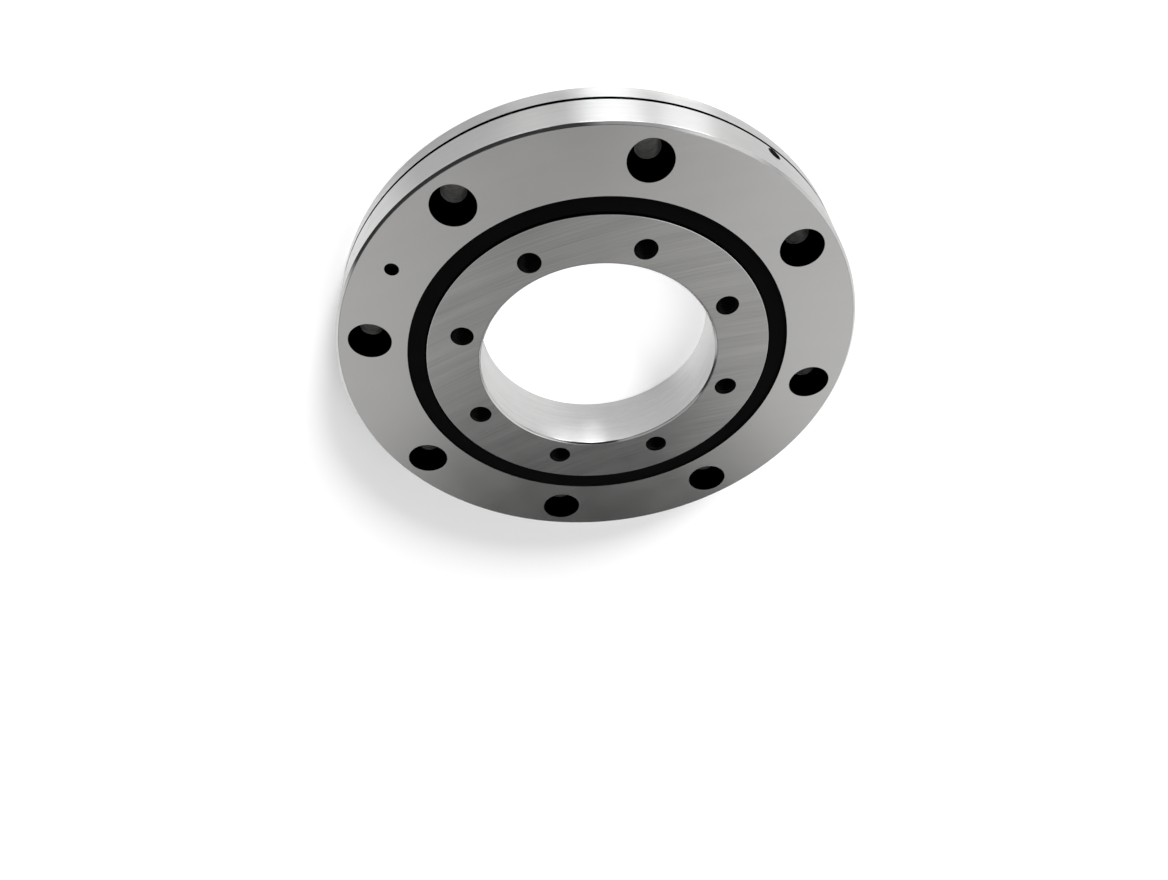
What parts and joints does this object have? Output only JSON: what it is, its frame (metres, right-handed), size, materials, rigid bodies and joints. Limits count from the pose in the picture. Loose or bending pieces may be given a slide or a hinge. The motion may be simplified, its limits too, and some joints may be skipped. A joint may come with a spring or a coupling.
{
  "type": "crossed roller bearing",
  "caption": "Flat crossed roller bearing with one-piece rings, counterbored holes in the outer ring, tapped holes in the inner ring and a black seal on each side.",
  "frame": {"origin": "on the bearing's axis, at the plain lower face", "axes": "+Z along the bearing's axis, up out of the counterbored face; +X through one mounting hole of the outer ring"},
  "size_m": [0.12, 0.12, 0.015],
  "materials": {
    "outer_ring_steel": "ground bearing steel, satin",
    "inner_ring_steel": "ground bearing steel with fine curved grinding lines",
    "roller_steel": "superfinished bearing steel",
    "pin_steel": "plain turned steel, slightly dark",
    "seal_rubber": "matte black nitrile rubber",
    "spacer_resin": "moulded natural resin"
  },
  "bodies": {
    "outer_ring": {"outer_ring": "outer_ring_steel", "loading_plug": "outer_ring_steel", "lock_pin": "pin_steel", "top_seal": "seal_rubber", "bottom_seal": "seal_rubber"},
    "inner_ring": {"inner_ring": "inner_ring_steel"},
    "roller_set": {"spacer_01": "spacer_resin", "spacer_02": "spacer_resin", "spacer_03": "spacer_resin", "spacer_04": "spacer_resin", "spacer_05": "spacer_resin", "spacer_06": "spacer_resin", "spacer_07": "spacer_resin", "spacer_08": "spacer_resin", "spacer_09": "spacer_resin", "spacer_10": "spacer_resin", "spacer_11": "spacer_resin", "spacer_12": "spacer_resin", "spacer_13": "spacer_resin", "spacer_14": "spacer_resin", "spacer_15": "spacer_resin", "spacer_16": "spacer_resin", "spacer_17": "spacer_resin", "spacer_18": "spacer_resin", "spacer_19": "spacer_resin", "spacer_20": "spacer_resin", "spacer_21": "spacer_resin", "spacer_22": "spacer_resin", "spacer_23": "spacer_resin", "spacer_24": "spacer_resin", "spacer_25": "spacer_resin", "spacer_26": "spacer_resin"},
    "roller_01": {"roller_01": "roller_steel"},
    "roller_02": {"roller_02": "roller_steel"},
    "roller_03": {"roller_03": "roller_steel"},
    "roller_04": {"roller_04": "roller_steel"},
    "roller_05": {"roller_05": "roller_steel"},
    "roller_06": {"roller_06": "roller_steel"},
    "roller_07": {"roller_07": "roller_steel"},
    "roller_08": {"roller_08": "roller_steel"},
    "roller_09": {"roller_09": "roller_steel"},
    "roller_10": {"roller_10": "roller_steel"},
    "roller_11": {"roller_11": "roller_steel"},
    "roller_12": {"roller_12": "roller_steel"},
    "roller_13": {"roller_13": "roller_steel"},
    "roller_14": {"roller_14": "roller_steel"},
    "roller_15": {"roller_15": "roller_steel"},
    "roller_16": {"roller_16": "roller_steel"},
    "roller_17": {"roller_17": "roller_steel"},
    "roller_18": {"roller_18": "roller_steel"},
    "roller_19": {"roller_19": "roller_steel"},
    "roller_20": {"roller_20": "roller_steel"},
    "roller_21": {"roller_21": "roller_steel"},
    "roller_22": {"roller_22": "roller_steel"},
    "roller_23": {"roller_23": "roller_steel"},
    "roller_24": {"roller_24": "roller_steel"},
    "roller_25": {"roller_25": "roller_steel"},
    "roller_26": {"roller_26": "roller_steel"}
  },
  "joints": [
    {"name": "inner_ring_spin", "type": "hinge", "parent": "outer_ring", "child": "inner_ring", "pos_m": [0, 0, 0.0075], "axis": [0, 0, 1], "continuous": true},
    {"name": "roller_set_orbit", "type": "hinge", "parent": "outer_ring", "child": "roller_set", "pos_m": [0, 0, 0.0075], "axis": [0, 0, 1], "continuous": true},
    {"name": "roller_01_spin", "type": "hinge", "parent": "roller_set", "child": "roller_01", "pos_m": [0.0425, 0, 0.0075], "axis": [0.7071, 0, 0.7071], "continuous": true},
    {"name": "roller_02_spin", "type": "hinge", "parent": "roller_set", "child": "roller_02", "pos_m": [0.04127, 0.01017, 0.0075], "axis": [-0.6866, -0.1692, 0.7071], "continuous": true},
    {"name": "roller_03_spin", "type": "hinge", "parent": "roller_set", "child": "roller_03", "pos_m": [0.03763, 0.01975, 0.0075], "axis": [0.6261, 0.3286, 0.7071], "continuous": true},
    {"name": "roller_04_spin", "type": "hinge", "parent": "roller_set", "child": "roller_04", "pos_m": [0.03181, 0.02818, 0.0075], "axis": [-0.5293, -0.4689, 0.7071], "continuous": true},
    {"name": "roller_05_spin", "type": "hinge", "parent": "roller_set", "child": "roller_05", "pos_m": [0.02414, 0.03498, 0.0075], "axis": [0.4017, 0.5819, 0.7071], "continuous": true},
    {"name": "roller_06_spin", "type": "hinge", "parent": "roller_set", "child": "roller_06", "pos_m": [0.01507, 0.03974, 0.0075], "axis": [-0.2507, -0.6612, 0.7071], "continuous": true},
    {"name": "roller_07_spin", "type": "hinge", "parent": "roller_set", "child": "roller_07", "pos_m": [0.00512, 0.04219, 0.0075], "axis": [0.0852, 0.702, 0.7071], "continuous": true},
    {"name": "roller_08_spin", "type": "hinge", "parent": "roller_set", "child": "roller_08", "pos_m": [-0.00512, 0.04219, 0.0075], "axis": [0.0852, -0.702, 0.7071], "continuous": true},
    {"name": "roller_09_spin", "type": "hinge", "parent": "roller_set", "child": "roller_09", "pos_m": [-0.01507, 0.03974, 0.0075], "axis": [-0.2507, 0.6612, 0.7071], "continuous": true},
    {"name": "roller_10_spin", "type": "hinge", "parent": "roller_set", "child": "roller_10", "pos_m": [-0.02414, 0.03498, 0.0075], "axis": [0.4017, -0.5819, 0.7071], "continuous": true},
    {"name": "roller_11_spin", "type": "hinge", "parent": "roller_set", "child": "roller_11", "pos_m": [-0.03181, 0.02818, 0.0075], "axis": [-0.5293, 0.4689, 0.7071], "continuous": true},
    {"name": "roller_12_spin", "type": "hinge", "parent": "roller_set", "child": "roller_12", "pos_m": [-0.03763, 0.01975, 0.0075], "axis": [0.6261, -0.3286, 0.7071], "continuous": true},
    {"name": "roller_13_spin", "type": "hinge", "parent": "roller_set", "child": "roller_13", "pos_m": [-0.04127, 0.01017, 0.0075], "axis": [-0.6866, 0.1692, 0.7071], "continuous": true},
    {"name": "roller_14_spin", "type": "hinge", "parent": "roller_set", "child": "roller_14", "pos_m": [-0.0425, 0, 0.0075], "axis": [0.7071, 0, 0.7071], "continuous": true},
    {"name": "roller_15_spin", "type": "hinge", "parent": "roller_set", "child": "roller_15", "pos_m": [-0.04127, -0.01017, 0.0075], "axis": [-0.6866, -0.1692, 0.7071], "continuous": true},
    {"name": "roller_16_spin", "type": "hinge", "parent": "roller_set", "child": "roller_16", "pos_m": [-0.03763, -0.01975, 0.0075], "axis": [0.6261, 0.3286, 0.7071], "continuous": true},
    {"name": "roller_17_spin", "type": "hinge", "parent": "roller_set", "child": "roller_17", "pos_m": [-0.03181, -0.02818, 0.0075], "axis": [-0.5293, -0.4689, 0.7071], "continuous": true},
    {"name": "roller_18_spin", "type": "hinge", "parent": "roller_set", "child": "roller_18", "pos_m": [-0.02414, -0.03498, 0.0075], "axis": [0.4017, 0.5819, 0.7071], "continuous": true},
    {"name": "roller_19_spin", "type": "hinge", "parent": "roller_set", "child": "roller_19", "pos_m": [-0.01507, -0.03974, 0.0075], "axis": [-0.2507, -0.6612, 0.7071], "continuous": true},
    {"name": "roller_20_spin", "type": "hinge", "parent": "roller_set", "child": "roller_20", "pos_m": [-0.00512, -0.04219, 0.0075], "axis": [0.0852, 0.702, 0.7071], "continuous": true},
    {"name": "roller_21_spin", "type": "hinge", "parent": "roller_set", "child": "roller_21", "pos_m": [0.00512, -0.04219, 0.0075], "axis": [0.0852, -0.702, 0.7071], "continuous": true},
    {"name": "roller_22_spin", "type": "hinge", "parent": "roller_set", "child": "roller_22", "pos_m": [0.01507, -0.03974, 0.0075], "axis": [-0.2507, 0.6612, 0.7071], "continuous": true},
    {"name": "roller_23_spin", "type": "hinge", "parent": "roller_set", "child": "roller_23", "pos_m": [0.02414, -0.03498, 0.0075], "axis": [0.4017, -0.5819, 0.7071], "continuous": true},
    {"name": "roller_24_spin", "type": "hinge", "parent": "roller_set", "child": "roller_24", "pos_m": [0.03181, -0.02818, 0.0075], "axis": [-0.5293, 0.4689, 0.7071], "continuous": true},
    {"name": "roller_25_spin", "type": "hinge", "parent": "roller_set", "child": "roller_25", "pos_m": [0.03763, -0.01975, 0.0075], "axis": [0.6261, -0.3286, 0.7071], "continuous": true},
    {"name": "roller_26_spin", "type": "hinge", "parent": "roller_set", "child": "roller_26", "pos_m": [0.04127, -0.01017, 0.0075], "axis": [-0.6866, 0.1692, 0.7071], "continuous": true}
  ],
  "couplings": [
    {"joint": "roller_set_orbit", "follows": "inner_ring_spin", "ratio": 0.47088},
    {"joint": "roller_01_spin", "follows": "inner_ring_spin", "ratio": -6.0508},
    {"joint": "roller_02_spin", "follows": "inner_ring_spin", "ratio": -6.0508},
    {"joint": "roller_03_spin", "follows": "inner_ring_spin", "ratio": -6.0508},
    {"joint": "roller_04_spin", "follows": "inner_ring_spin", "ratio": -6.0508},
    {"joint": "roller_05_spin", "follows": "inner_ring_spin", "ratio": -6.0508},
    {"joint": "roller_06_spin", "follows": "inner_ring_spin", "ratio": -6.0508},
    {"joint": "roller_07_spin", "follows": "inner_ring_spin", "ratio": -6.0508},
    {"joint": "roller_08_spin", "follows": "inner_ring_spin", "ratio": -6.0508},
    {"joint": "roller_09_spin", "follows": "inner_ring_spin", "ratio": -6.0508},
    {"joint": "roller_10_spin", "follows": "inner_ring_spin", "ratio": -6.0508},
    {"joint": "roller_11_spin", "follows": "inner_ring_spin", "ratio": -6.0508},
    {"joint": "roller_12_spin", "follows": "inner_ring_spin", "ratio": -6.0508},
    {"joint": "roller_13_spin", "follows": "inner_ring_spin", "ratio": -6.0508},
    {"joint": "roller_14_spin", "follows": "inner_ring_spin", "ratio": -6.0508},
    {"joint": "roller_15_spin", "follows": "inner_ring_spin", "ratio": -6.0508},
    {"joint": "roller_16_spin", "follows": "inner_ring_spin", "ratio": -6.0508},
    {"joint": "roller_17_spin", "follows": "inner_ring_spin", "ratio": -6.0508},
    {"joint": "roller_18_spin", "follows": "inner_ring_spin", "ratio": -6.0508},
    {"joint": "roller_19_spin", "follows": "inner_ring_spin", "ratio": -6.0508},
    {"joint": "roller_20_spin", "follows": "inner_ring_spin", "ratio": -6.0508},
    {"joint": "roller_21_spin", "follows": "inner_ring_spin", "ratio": -6.0508},
    {"joint": "roller_22_spin", "follows": "inner_ring_spin", "ratio": -6.0508},
    {"joint": "roller_23_spin", "follows": "inner_ring_spin", "ratio": -6.0508},
    {"joint": "roller_24_spin", "follows": "inner_ring_spin", "ratio": -6.0508},
    {"joint": "roller_25_spin", "follows": "inner_ring_spin", "ratio": -6.0508},
    {"joint": "roller_26_spin", "follows": "inner_ring_spin", "ratio": -6.0508}
  ]
}
